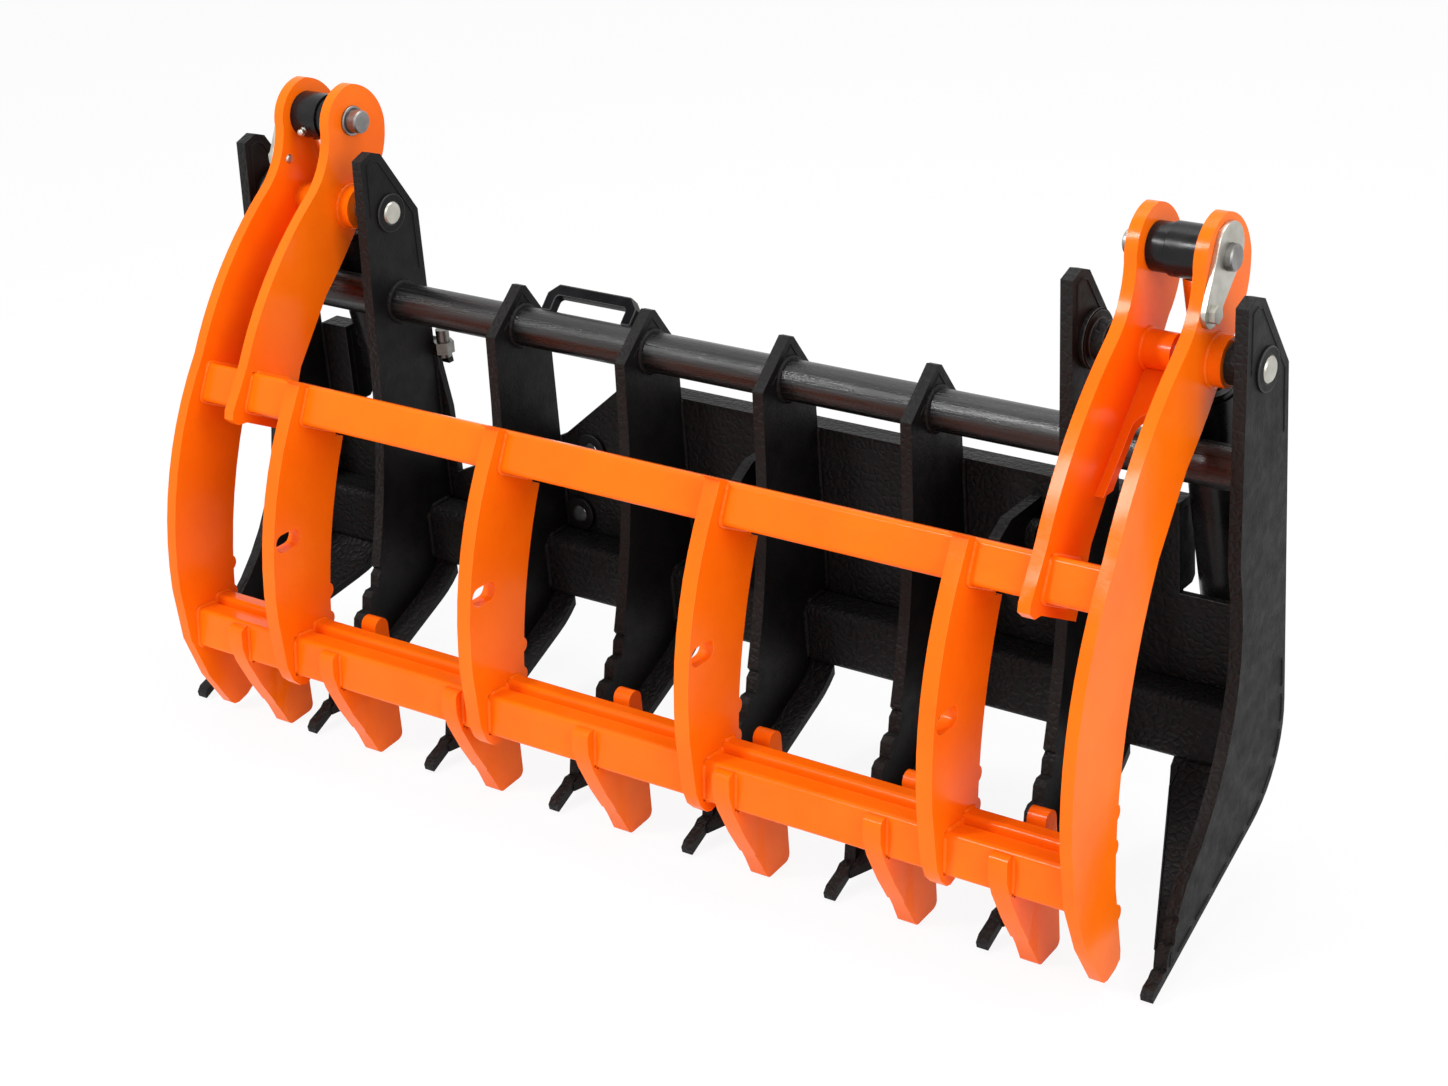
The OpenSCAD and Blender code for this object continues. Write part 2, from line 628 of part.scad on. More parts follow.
tooth_rear_y = -173;
module tooth_outline() {
    nose = arc([-253, -405], 8, 60, 180, 6);
    polygon(concat(nose, [[-262, -420], [-257, -440], [-242, -474], [-221, -513], [-213, -531]],
                   arc([-206, -530], 7, 190, 270, 4), arc([-181, -527], 8, -90, 0, 5),
                   [[tooth_rear_y, -509]], arc([tooth_rear_y - 10, -396], 10, 0, 180, 8),
                   [[-193, -442], [-251, -442]]));
}
module tooth(i) {
    x = tooth_x[i - 1];
    color(orange_paint) place() difference() {
        plate(x, tooth_t) tooth_outline();
        plate(x, tooth_t + 2) beam_cuts();
        for (s = [-1, 1]) translate([x + s * tooth_t / 2, -212, -442]) rotate([0, 0, -s * 8])
            rotate([-14, 0, 0]) translate([s > 0 ? 0 : -20, 0, -120]) cube([20, 90, 120]);
    }
}

// Web plate between the two plates of an arm, cut out in an arch
module web(side) {
    a = [-2, -36];
    c = [-101, -104];
    arch_w = pair_gap - 2 * 9;
    run = atan2(a[1] - c[1], a[0] - c[0]);
    color(orange_paint) place() difference() {
        plate(side * pair_x, pair_gap) intersection() {
            polygon(concat(arc3(arm_rear_neck + [-42, -36], arm_rear_neck + [-3, 3], [10, -16]),
                           arc3([-4, -12], arm_rear_neck + [-9, 12], arm_rear_neck + [-50, -25])));
            translate([-120, -105]) square([140, 95]);
        }
        bar_x(side * pair_x, [0, 0], pair_gap + 2, pivot_boss_d + 2 * seat_gap);
        translate([side * pair_x, a[0], a[1]]) rotate([run - 180, 0, 0]) {
            translate([0, 52, -40]) cylinder(h = 90, d = arch_w, $fn = round_fn);
            translate([-arch_w / 2, 52, -40]) cube([arch_w, 120, 90]);
        }
    }
}

// Ear pins with their flag plates and bolts
flag_bolt_c = [-18, 50];
flag_bolt_d = 10;
flag_t = 5;
module ear_pin(side) {
    tail = 16;
    head = 7;
    color(pin_steel) place() pin_x(side * (inner_arm_x - arm_t / 2 - tail),
                                   side * (outer_arm_x + arm_t / 2 + flag_t + head), ear_c, ear_pin_d);
}
module ear_spacers() {
    near = inner_arm_x + arm_t / 2 + seat_gap;
    far = cylinder_x - rod_eye_w / 2 - move_gap;
    color(black_paint) place() for (side = [-1, 1]) difference() {
        bar_x(side * (near + far) / 2, ear_c, far - near, ear_spacer_d);
        bar_x(side * (near + far) / 2, ear_c, far - near + 2, ear_pin_d + 2 * seat_gap);
    }
}
module flag_plate(side) {
    x = side * (outer_arm_x + arm_t / 2 + flag_t / 2 + seat_gap);
    big_c = ear_c + [2, 7];
    big_r = 24.5;
    small_r = 13.5;
    run = flag_bolt_c - big_c;
    dir = atan2(run[1], run[0]);
    spread = acos((big_r - small_r) / norm(run));
    color(plated) place() difference() {
        plate(x, flag_t) polygon(concat(arc(big_c, big_r, dir + spread, dir + 360 - spread, 24),
                                        arc(flag_bolt_c, small_r, dir - spread, dir + spread, 12)));
        bar_x(x, ear_c, flag_t + 2, ear_pin_d + 2 * seat_gap);
        bar_x(x, flag_bolt_c, flag_t + 2, flag_bolt_d + 2 * seat_gap);
    }
}
module flag_bolts() {
    head_t = 6;
    head_d = 18;
    end = 1.5;
    out_x = outer_arm_x + arm_t / 2 + flag_t + 2 * seat_gap;
    color(plated) place() for (side = [-1, 1]) {
        pin_x(side * (outer_arm_x - arm_t / 2 - end), side * (out_x + head_t - 1),
              flag_bolt_c, flag_bolt_d);
        translate([side * (out_x + head_t / 2) - head_t / 2, flag_bolt_c[0], flag_bolt_c[1]])
            rotate([0, 90, 0]) cylinder(h = head_t, d = head_d, $fn = 6);
    }
}

// Cylinder pieces, drawn along the line from the base pin to the ear pin
module on_cylinder(side) {
    place() translate([side * cylinder_x, base_c[0], base_c[1]]) rotate([cylinder_lean, 0, 0]) children();
}
module eye(w, d, bore) {
    rotate([0, 90, 0]) difference() {
        translate([0, 0, -w / 2]) cylinder(h = w, d = d, $fn = round_fn);
        translate([0, 0, -w / 2 - 1]) cylinder(h = w + 2, d = bore, $fn = round_fn);
    }
}
base_eye_d = 48;
barrel_foot = 30;
module barrel(side) {
    bore = barrel_d - 2 * barrel_wall;
    color(black_paint) on_cylinder(side) {
        difference() {
            union() {
                translate([0, 0, barrel_foot])
                    cylinder(h = barrel_len - barrel_foot, d = barrel_d, $fn = round_fn);
                translate([-base_eye_w / 2, -16, 0]) cube([base_eye_w, 32, barrel_foot + 4]);
                rotate([0, 90, 0]) translate([0, 0, -base_eye_w / 2])
                    cylinder(h = base_eye_w, d = base_eye_d, $fn = round_fn);
                for (z = [62, barrel_len - 44])
                    translate([0, barrel_d / 2 - 4, z]) rotate([-90, 0, 0])
                        cylinder(h = 14, d = 22, $fn = round_fn);
            }
            rotate([0, 90, 0]) translate([0, 0, -base_eye_w])
                cylinder(h = 2 * base_eye_w, d = base_pin_d + 2 * running_gap, $fn = round_fn);
            translate([0, 0, barrel_foot + 12]) cylinder(h = barrel_len, d = bore, $fn = round_fn);
            translate([0, 0, 62]) rotate([-90, 0, 0]) cylinder(h = barrel_d, d = 10, $fn = round_fn);
            translate([0, 0, barrel_len - 44]) rotate([-90, 0, 0])
                cylinder(h = barrel_d, d = 10, $fn = round_fn);
        }
    }
}
module gland(side) {
    bore = barrel_d - 2 * barrel_wall;
    color(black_paint) on_cylinder(side) difference() {
        union() {
            translate([0, 0, barrel_len - gland_len])
                cylinder(h = gland_len, d = bore - 2 * seat_gap, $fn = round_fn);
            translate([0, 0, barrel_len + seat_gap]) cylinder(h = 7, d = barrel_d - 4, $fn = round_fn);
            translate([0, 0, barrel_len - 1]) cylinder(h = 2, d = bore - 2 * seat_gap, $fn = round_fn);
        }
        translate([0, 0, barrel_len - gland_len - 1])
            cylinder(h = gland_len + 10, d = rod_d + 2 * rod_play, $fn = round_fn);
    }
}
piston_reach = 190;
module rod(side) {
    color(plated) on_cylinder(side)
        translate([0, 0, piston_reach])
            cylinder(h = cylinder_len - rod_eye_d / 2 + 2 - piston_reach, d = rod_d, $fn = round_fn);
}
module rod_eye(side) {
    neck = rod_eye_d / 2 - 2;
    color(black_paint) on_cylinder(side) translate([0, 0, cylinder_len]) difference() {
        eye(rod_eye_w, rod_eye_d, ear_pin_d + 2 * running_gap);
        translate([0, 0, -cylinder_len])
            cylinder(h = cylinder_len - neck + seat_gap, d = rod_d + 2 * seat_gap, $fn = round_fn);
    }
}
module piston(side) {
    bore = barrel_d - 2 * barrel_wall;
    color(pin_steel) on_cylinder(side) translate([0, 0, piston_reach - 16]) difference() {
        cylinder(h = 30, d = bore - 2 * rod_play, $fn = round_fn);
        translate([0, 0, 16 - seat_gap]) cylinder(h = 30, d = rod_d + 2 * seat_gap, $fn = round_fn);
    }
}

tine(1);  // tine_1
tine(2);  // tine_2
tine(3);  // tine_3
tine(4);  // tine_4
tine(5);  // tine_5
tine(6);  // tine_6
tine(7);  // tine_7
tine(8);  // tine_8
top_pipe();
lower_tube();
back_panel();
lock_ledge();
stiffener_lugs();
hose_guide();
hose_grommets();
hydraulic_fitting();
cylinder_bracket(-1);  // cylinder_bracket_left
cylinder_bracket(1);  // cylinder_bracket_right
base_pin(-1);  // base_pin_left
base_pin(1);  // base_pin_right
pivot_pin(-1);  // pivot_pin_left
pivot_pin(1);  // pivot_pin_right
pivot_rings();
pivot_bushes();
arm(-1, true);  // arm_outer_left
arm(-1, false);  // arm_inner_left
arm(1, false);  // arm_inner_right
arm(1, true);  // arm_outer_right
rib(1);  // rib_1
rib(2);  // rib_2
rib(3);  // rib_3
rib(4);  // rib_4
upper_beam();
lower_beam();
back_bar();
tooth(1);  // tooth_1
tooth(2);  // tooth_2
tooth(3);  // tooth_3
tooth(4);  // tooth_4
tooth(5);  // tooth_5
tooth(6);  // tooth_6
tooth(7);  // tooth_7
web(-1);  // web_left
web(1);  // web_right
ear_pin(-1);  // ear_pin_left
ear_pin(1);  // ear_pin_right
ear_spacers();
flag_plate(-1);  // flag_plate_left
flag_plate(1);  // flag_plate_right
flag_bolts();
barrel(-1);  // barrel_left
barrel(1);  // barrel_right
gland(-1);  // gland_left
gland(1);  // gland_right
rod(-1);  // rod_left
rod(1);  // rod_right
rod_eye(-1);  // rod_eye_left
rod_eye(1);  // rod_eye_right
piston(-1);  // piston_left
piston(1);  // piston_right
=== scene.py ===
"""Looks of the grapple rake: finishes, welds, small fittings, light and camera."""
import bmesh
import bpy
import json
import math
from mathutils import Matrix, Vector
from mathutils.bvhtree import BVHTree


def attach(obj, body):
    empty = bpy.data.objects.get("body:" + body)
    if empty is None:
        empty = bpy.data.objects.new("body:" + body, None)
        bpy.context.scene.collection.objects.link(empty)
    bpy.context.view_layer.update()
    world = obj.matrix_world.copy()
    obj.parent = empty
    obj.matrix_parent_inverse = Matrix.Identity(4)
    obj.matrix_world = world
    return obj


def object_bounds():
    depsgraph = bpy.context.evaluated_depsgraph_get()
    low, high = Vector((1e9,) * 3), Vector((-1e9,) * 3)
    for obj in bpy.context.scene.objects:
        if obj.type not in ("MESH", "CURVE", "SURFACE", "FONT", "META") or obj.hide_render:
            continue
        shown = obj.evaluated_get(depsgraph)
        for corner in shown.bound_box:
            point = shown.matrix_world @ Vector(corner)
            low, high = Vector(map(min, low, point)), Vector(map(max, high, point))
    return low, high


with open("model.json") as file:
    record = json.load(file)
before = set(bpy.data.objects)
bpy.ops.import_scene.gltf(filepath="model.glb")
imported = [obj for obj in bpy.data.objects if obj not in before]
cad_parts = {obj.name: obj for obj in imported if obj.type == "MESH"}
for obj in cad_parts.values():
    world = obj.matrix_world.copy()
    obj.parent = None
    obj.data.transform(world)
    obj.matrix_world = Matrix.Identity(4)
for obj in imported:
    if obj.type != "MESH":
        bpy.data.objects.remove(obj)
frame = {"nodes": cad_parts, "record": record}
cad_low, cad_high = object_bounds()
nodes = frame["nodes"]

# Camera at the photograph's viewing angle
CAMERA_AT = (1.649, -2.160, 1.227)
CAMERA_FORWARD = (-0.56023, 0.71431, -0.41942)
CAMERA_UP = (-0.19660, 0.37720, 0.90502)
LENS_MM = 70.75
SENSOR_MM = 36.0

# Places that the CAD source also has, in metres
PIVOT = Vector((0, -0.051, 0.290))
FRAME_W = 1.220
TINE_T = 0.0127
PITCH = (FRAME_W - TINE_T) / 7
ARM_T = 0.0127
SIDE_GAP = 0.036
OUTER_ARM_X = FRAME_W / 2 - TINE_T - SIDE_GAP - ARM_T / 2
INNER_ARM_X = FRAME_W / 2 - PITCH + 0.0435 + ARM_T / 2
CYLINDER_X = OUTER_ARM_X - ARM_T / 2 - 0.0004 - 0.0175
RIB_T = 0.017
TOOTH_T = 0.020
RIB_GAP = 0.0074
LUG_X = (0.27 * PITCH, 2.02 * PITCH)
LUG_T = 0.012
PANEL_FRONT_Y = 0.046
PANEL_REAR_Y = 0.0511
EAR_C = (0.016, 0.0915)
BASE_C = (0.096, -0.330)
ROD_EYE_R = 0.0245
EAR_PIN_R = 0.0127
SLOT_SIDE = 0.0303

# Softened edges of cut and painted plates
EDGE_ROUND = 0.0012
CLAW_EDGE_ROUND = 0.0018
EDGE_ANGLE = math.radians(32)
EDGE_SEGMENTS = 2
FLAT_ANGLE = math.radians(0.4)
MERGE_DISTANCE = 0.00001

# Fine lines on the plates: radius of each bead, and its distance from the edge
BORDER_R = 0.0009
BORDER_INSET = 0.0085
HEEL_R = 0.0015
HEEL_INSET = 0.0062
DASH_POINTS = 13
DASH_PITCH = 15
FLANGE_R = 0.0013
FLANGE_INSET = 0.008

# Weld beads: radii, step along the seam, and how near the other plate has to be
PIPE_WELD = 0.0036
TUBE_WELD = 0.0034
PANEL_WELD = 0.0030
BEAM_WELD = 0.0030
BAR_WELD = 0.0026
TOOTH_WELD = 0.0028
ARM_WELD = 0.0026
WELD_STEP = 0.0026
WELD_REACH = 0.0012
CUT_OFFSET = 0.0003

# Colours, linear
ORANGE = (0.985, 0.172, 0.0034, 1)
ORANGE_DEEP = (0.945, 0.141, 0.0020, 1)
# Lighter orange painted on the bevels: a painted highlight along the rounded edges
ORANGE_PAINTED_HIGHLIGHT = (1.0, 0.36, 0.12, 1)
ORANGE_PAINTED_HIGHLIGHT_DEEP = (0.99, 0.22, 0.035, 1)
CYLINDER_DARK = (0.006, 0.006, 0.007, 1)
CYLINDER_LIGHT = (0.014, 0.014, 0.015, 1)
RUBBER_DARK = (0.004, 0.004, 0.004, 1)
RUBBER_LIGHT = (0.009, 0.009, 0.009, 1)
ZINC_DARK = (0.40, 0.39, 0.34, 1)
ZINC_LIGHT = (0.60, 0.59, 0.54, 1)
DULL_ZINC_DARK = (0.10, 0.10, 0.09, 1)
DULL_ZINC_LIGHT = (0.26, 0.255, 0.24, 1)
PIN_DARK = (0.20, 0.195, 0.19, 1)
PIN_LIGHT = (0.36, 0.35, 0.34, 1)
CHROME_DARK = (0.72, 0.72, 0.73, 1)
CHROME_LIGHT = (0.84, 0.84, 0.85, 1)
BLACK = (0.0045, 0.0045, 0.0047, 1)
BLACK_LIGHT = (0.0095, 0.0095, 0.0097, 1)
EDGE_DUST = (0.0135, 0.0128, 0.0122, 1)
# Lighter grey painted on the bevels of the black plates: a painted highlight along their edges
BLACK_PAINTED_HIGHLIGHT = (0.036, 0.035, 0.0345, 1)


def new_material(name):
    material = bpy.data.materials.new(name)
    material.use_nodes = True
    tree = material.node_tree
    shader = tree.nodes["Principled BSDF"]
    return material, tree, shader


def noise(tree, scale, detail=4.0, rough=0.55, stretch=(1, 1, 1)):
    """Noise in object space, so that it doesn't slide when the piece moves."""
    place = tree.nodes.new("ShaderNodeTexCoord")
    mapping = tree.nodes.new("ShaderNodeMapping")
    mapping.inputs["Scale"].default_value = stretch
    texture = tree.nodes.new("ShaderNodeTexNoise")
    texture.inputs["Scale"].default_value = scale
    texture.inputs["Detail"].default_value = detail
    texture.inputs["Roughness"].default_value = rough
    tree.links.new(place.outputs["Object"], mapping.inputs["Vector"])
    tree.links.new(mapping.outputs["Vector"], texture.inputs["Vector"])
    return texture.outputs["Fac"]


def wrinkles(tree, scale):
    """Fine creases of a thick powder coat."""
    place = tree.nodes.new("ShaderNodeTexCoord")
    cells = tree.nodes.new("ShaderNodeTexVoronoi")
    cells.feature = "DISTANCE_TO_EDGE"
    cells.inputs["Scale"].default_value = scale
    tree.links.new(place.outputs["Object"], cells.inputs["Vector"])
    return remap(tree, cells.outputs["Distance"], 0.0, 0.25, 0.0, 1.0)


def ramp(tree, value, low, high, colour_low, colour_high):
    node = tree.nodes.new("ShaderNodeValToRGB")
    node.color_ramp.elements[0].position = low
    node.color_ramp.elements[1].position = high
    node.color_ramp.elements[0].color = colour_low
    node.color_ramp.elements[1].color = colour_high
    tree.links.new(value, node.inputs["Fac"])
    return node.outputs["Color"]


def remap(tree, value, low, high, out_low, out_high):
    node = tree.nodes.new("ShaderNodeMapRange")
    node.inputs["From Min"].default_value = low
    node.inputs["From Max"].default_value = high
    node.inputs["To Min"].default_value = out_low
    node.inputs["To Max"].default_value = out_high
    tree.links.new(value, node.inputs["Value"])
    return node.outputs["Result"]


def mix_colour(tree, factor, first, second):
    node = tree.nodes.new("ShaderNodeMix")
    node.data_type = "RGBA"
    tree.links.new(factor, node.inputs["Factor"])
    for socket, value in ((node.inputs["A"], first), (node.inputs["B"], second)):
        if isinstance(value, tuple):
            socket.default_value = value
        else:
            tree.links.new(value, socket)
    return node.outputs["Result"]


def bump(tree, shader, layers):
    """Stacks bump layers of (height, depth in metres)."""
    last = None
    for height, distance in layers:
        node = tree.nodes.new("ShaderNodeBump")
        node.inputs["Strength"].default_value = 1.0
        node.inputs["Distance"].default_value = distance
        tree.links.new(height, node.inputs["Height"])
        if last is not None:
            tree.links.new(last, node.inputs["Normal"])
        last = node.outputs["Normal"]
    tree.links.new(last, shader.inputs["Normal"])


def plate_edge(tree):
    """1 on the cut edges of the plates, 0 on their flat faces, which look along X."""
    geometry = tree.nodes.new("ShaderNodeNewGeometry")
    split = tree.nodes.new("ShaderNodeSeparateXYZ")
    size = tree.nodes.new("ShaderNodeMath")
    size.operation = "ABSOLUTE"
    tree.links.new(geometry.outputs["True Normal"], split.inputs["Vector"])
    tree.links.new(split.outputs["X"], size.inputs[0])
    return remap(tree, size.outputs["Value"], 0.35, 0.75, 1.0, 0.0)


def make_orange(name, deep, light):
    material, tree, shader = new_material(name)
    clouds = noise(tree, 9.0, 3.0)
    colour = ramp(tree, clouds, 0.35, 0.7, deep, light)
    tree.links.new(colour, shader.inputs["Base Color"])
    grain = noise(tree, 520.0, 3.0)
    tree.links.new(remap(tree, noise(tree, 30.0), 0.3, 0.7, 0.18, 0.27), shader.inputs["Roughness"])
    shader.inputs["Coat Weight"].default_value = 0.08
    shader.inputs["Coat Roughness"].default_value = 0.12
    shader.inputs["Specular IOR Level"].default_value = 0.11
    bump(tree, shader, [(grain, 0.00012), (noise(tree, 60.0, 2.0), 0.0004)])
    return material


def make_black(name, rough_low, rough_high, specular, crease, dust_and_highlight=EDGE_DUST, light=BLACK_LIGHT, fine=1):
    """Black coat; crease is the depth of its wrinkles on cut edges, fine narrows its streaks."""
    material, tree, shader = new_material(name)
    clouds = noise(tree, 14.0, 4.0)
    face = ramp(tree, clouds, 0.38, 0.72, BLACK, light)
    # Colour of the cut edges: dust on the plain coat, and in the bevel material a painted highlight
    worn_and_highlight = mix_colour(tree, noise(tree, 45.0, 5.0, 0.7), dust_and_highlight, light)
    rim = plate_edge(tree)
    dusty_and_highlight = mix_colour(tree, rim, face, worn_and_highlight)
    tree.links.new(dusty_and_highlight, shader.inputs["Base Color"])
    grain = noise(tree, 420.0, 5.0, 0.65)
    streaks = noise(tree, 60.0 * fine, 3.0, 0.6, (0.12 / fine, 1, 1))
    tree.links.new(remap(tree, streaks, 0.3, 0.7, rough_low, rough_high), shader.inputs["Roughness"])
    shader.inputs["Specular IOR Level"].default_value = specular
    creased = tree.nodes.new("ShaderNodeMath")
    creased.operation = "MULTIPLY"
    tree.links.new(wrinkles(tree, 120.0), creased.inputs[0])
    tree.links.new(rim, creased.inputs[1])
    bump(tree, shader, [(streaks, 0.0006), (creased.outputs["Value"], crease), (grain, 0.0004)])
    return material


def make_cylinder_black(name, ior):
    material, tree, shader = new_material(name)
    shader.inputs["IOR"].default_value = ior
    colour = ramp(tree, noise(tree, 20.0), 0.4, 0.7, CYLINDER_DARK, CYLINDER_LIGHT)
    tree.links.new(colour, shader.inputs["Base Color"])
    tree.links.new(remap(tree, noise(tree, 60.0), 0.3, 0.7, 0.20, 0.32), shader.inputs["Roughness"])
    shader.inputs["Specular IOR Level"].default_value = 0.2
    bump(tree, shader, [(noise(tree, 350.0), 0.00008)])
    return material


def make_metal(name, dark, light, rough_low, rough_high, scale, depth):
    material, tree, shader = new_material(name)
    shader.inputs["Metallic"].default_value = 1.0
    tree.links.new(ramp(tree, noise(tree, scale, 5.0), 0.35, 0.7, dark, light), shader.inputs["Base Color"])
    fine = noise(tree, scale * 12, 3.0, 0.6, (1, 4, 4))
    tree.links.new(remap(tree, fine, 0.3, 0.7, rough_low, rough_high), shader.inputs["Roughness"])
    bump(tree, shader, [(fine, depth)])
    return material


def make_rubber():
    material, tree, shader = new_material("rubber")
    colour = ramp(tree, noise(tree, 40.0), 0.4, 0.7, RUBBER_DARK, RUBBER_LIGHT)
    tree.links.new(colour, shader.inputs["Base Color"])
    tree.links.new(remap(tree, noise(tree, 90.0), 0.3, 0.7, 0.40, 0.60), shader.inputs["Roughness"])
    shader.inputs["Specular IOR Level"].default_value = 0.25
    bump(tree, shader, [(noise(tree, 600.0), 0.0002)])
    return material


finish_of_slot = {
    "orange_paint": make_orange("orange_enamel", ORANGE_DEEP, ORANGE),
    "black_powder_coat": make_black("black_powder_coat", 0.40, 0.58, 0.13, 0.0007),
    "cylinder_black": make_cylinder_black("cylinder_black", 1.5),
    "plated_steel": make_metal("plated_steel", ZINC_DARK, ZINC_LIGHT, 0.26, 0.42, 40.0, 0.00008),
    "pin_steel": make_metal("pin_steel", PIN_DARK, PIN_LIGHT, 0.32, 0.5, 40.0, 0.0001),
    "chrome_rod": make_metal("chrome_rod", CHROME_DARK, CHROME_LIGHT, 0.06, 0.14, 30.0, 0.00001),
    "rubber": make_rubber(),
}
# Nodes that look different from the rest of their slot
own_finish = {
    "top_pipe": make_black("black_pipe_enamel", 0.10, 0.50, 0.62, 0.00005, BLACK, BLACK, 3.5),
    "hose_guide": make_cylinder_black("black_loop_enamel", 1.15),
    "hydraulic_fitting": make_metal("dull_plated_steel", DULL_ZINC_DARK, DULL_ZINC_LIGHT,
                                    0.3, 0.5, 40.0, 0.0001),
}

# Second material of each painted slot, on the bevels: a lighter colour that is a painted highlight along the
# rounded edges
painted_highlight_of_slot = {
    "orange_paint": make_orange("orange_enamel_painted_highlight", ORANGE_PAINTED_HIGHLIGHT_DEEP, ORANGE_PAINTED_HIGHLIGHT),
    "black_powder_coat": make_black("black_powder_coat_painted_highlight", 0.34, 0.5, 0.3, 0.0002, BLACK_PAINTED_HIGHLIGHT, BLACK_PAINTED_HIGHLIGHT),
}


def soften(piece, width, merge_flat, has_painted_highlight):
    """Rounds the sharp edges of a piece, in its second material, a painted highlight, if it has one."""
    weld = piece.modifiers.new("weld", "WELD")
    weld.merge_threshold = MERGE_DISTANCE
    if merge_flat:
        flat = piece.modifiers.new("flat", "DECIMATE")
        flat.decimate_type = "DISSOLVE"
        flat.angle_limit = FLAT_ANGLE
    edge = piece.modifiers.new("edge", "BEVEL")
    edge.width = width
    edge.segments = EDGE_SEGMENTS
    edge.limit_method = "ANGLE"
    edge.angle_limit = EDGE_ANGLE
    edge.use_clamp_overlap = True
    edge.harden_normals = False
    edge.material = 1 if has_painted_highlight else -1
    normals = piece.modifiers.new("normals", "WEIGHTED_NORMAL")
    normals.keep_sharp = False


def finish_nodes():
    slots = {row["node"]: row["material_slot"] for row in frame["record"]["subparts"]}
    for name, piece in nodes.items():
        piece.data.materials.clear()
        piece.data.materials.append(own_finish.get(name, finish_of_slot[slots[name]]))
        # The second material is a painted highlight on the bevels.
        rim = painted_highlight_of_slot.get(slots[name])
        if rim is not None:
            piece.data.materials.append(rim)
        for face in piece.data.polygons:
            face.use_smooth = True
        width = CLAW_EDGE_ROUND if name.startswith(("arm_", "rib_")) else EDGE_ROUND
        merge_flat = name.startswith(("flag_plate", "back_panel"))
        soften(piece, width, merge_flat, rim is not None)


def make_piece(name, shape, body, slot):
    """Turns a bmesh into a smooth piece that rides on a body."""
    mesh = bpy.data.meshes.new(name)
    bmesh.ops.recalc_face_normals(shape, faces=shape.faces)
    shape.to_mesh(mesh)
    shape.free()
    piece = bpy.data.objects.new(name, mesh)
    bpy.context.scene.collection.objects.link(piece)
    mesh.materials.append(finish_of_slot[slot])
    for face in mesh.polygons:
        face.use_smooth = True
    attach(piece, body)
    return piece


# Welds and lines follow the cut of one CAD solid at a plate's face
def cut_loops(name, x):
    """Closed y-z outlines of a node where the plane at x cuts it, longest first."""
    shape = bmesh.new()
    shape.from_mesh(nodes[name].data)
    bmesh.ops.remove_doubles(shape, verts=shape.verts, dist=MERGE_DISTANCE)
    everything = shape.verts[:] + shape.edges[:] + shape.faces[:]
    cut = bmesh.ops.bisect_plane(shape, geom=everything, dist=MERGE_DISTANCE / 10,
                                 plane_co=(x, 0, 0), plane_no=(1, 0, 0))
    near = {}
    for edge in (item for item in cut["geom_cut"] if isinstance(item, bmesh.types.BMEdge)):
        a, b = edge.verts
        near.setdefault(a, []).append(b)
        near.setdefault(b, []).append(a)
    loops = []
    while near:
        at = next(iter(near))
        loop = [at]
        while at is not None:
            others = near.pop(at, [])
            at = next((other for other in others if other in near), None)
            if at is not None:
                loop.append(at)
        if len(loop) > 2:
            loops.append([Vector((v.co.y, v.co.z)) for v in loop])
    shape.free()
    return sorted(loops, key=lambda loop: -loop_length(loop))


def loop_length(loop):
    return sum((loop[i] - loop[i - 1]).length for i in range(len(loop)))


def even_points(loop, step):
    """Points at an even step round a closed outline."""
    count = max(12, round(loop_length(loop) / step))
    gap = loop_length(loop) / count
    points = []
    walked = 0.0
    for i in range(len(loop)):
        a, b = loop[i - 1], loop[i]
        side = (b - a).length
        while len(points) < count and len(points) * gap <= walked + side and side > 0:
            points.append(a.lerp(b, (len(points) * gap - walked) / side))
        walked += side
    return points


def runs_of(points, wanted):
    """Splits a closed row of points into unbroken runs of wanted ones."""
    flags = [wanted(point) for point in points]
    if all(flags):
        return [(points, True)]
    if not any(flags):
        return []
    start = flags.index(False)
    runs, run = [], []
    for i in range(len(points) + 1):
        k = (start + i) % len(points)
        if flags[k] and i < len(points):
            run.append(points[k])
        else:
            if len(run) > 3:
                runs.append((run, False))
            run = []
    return runs


def sweep(shape, path, closed, radius, sides=8, ripple=0.0, beat=3):
    """Adds a round bead along a path to a bmesh, rippled like a weld."""
    rings = []
    count = len(path)
    for i, point in enumerate(path):
        before = path[(i - 1) % count] if closed or i > 0 else point
        after = path[(i + 1) % count] if closed or i < count - 1 else point
        along = (after - before).normalized()
        across = Vector((1, 0, 0))
        third = along.cross(across).normalized()
        size = radius * (1 + ripple * (1 if i % beat == 0 else -0.35))
        if not closed and i in (0, count - 1):
            size *= 0.35
        ring = []
        for k in range(sides):
            angle = 2 * math.pi * k / sides
            ring.append(shape.verts.new(point + size * (math.cos(angle) * across + math.sin(angle) * third)))
        rings.append(ring)
    for i in range(count if closed else count - 1):
        first, second = rings[i], rings[(i + 1) % count]
        for k in range(sides):
            shape.faces.new((first[k], first[(k + 1) % sides], second[(k + 1) % sides], second[k]))
    if not closed:
        shape.faces.new(rings[0][::-1])
        shape.faces.new(rings[-1])


surfaces = {}


def surface_of(name):
    """Search tree over a node's mesh, built once for each node."""
    if name not in surfaces:
        mesh = nodes[name].data
        surfaces[name] = BVHTree.FromPolygons([v.co for v in mesh.vertices],
                                              [tuple(face.vertices) for face in mesh.polygons])
    return surfaces[name]


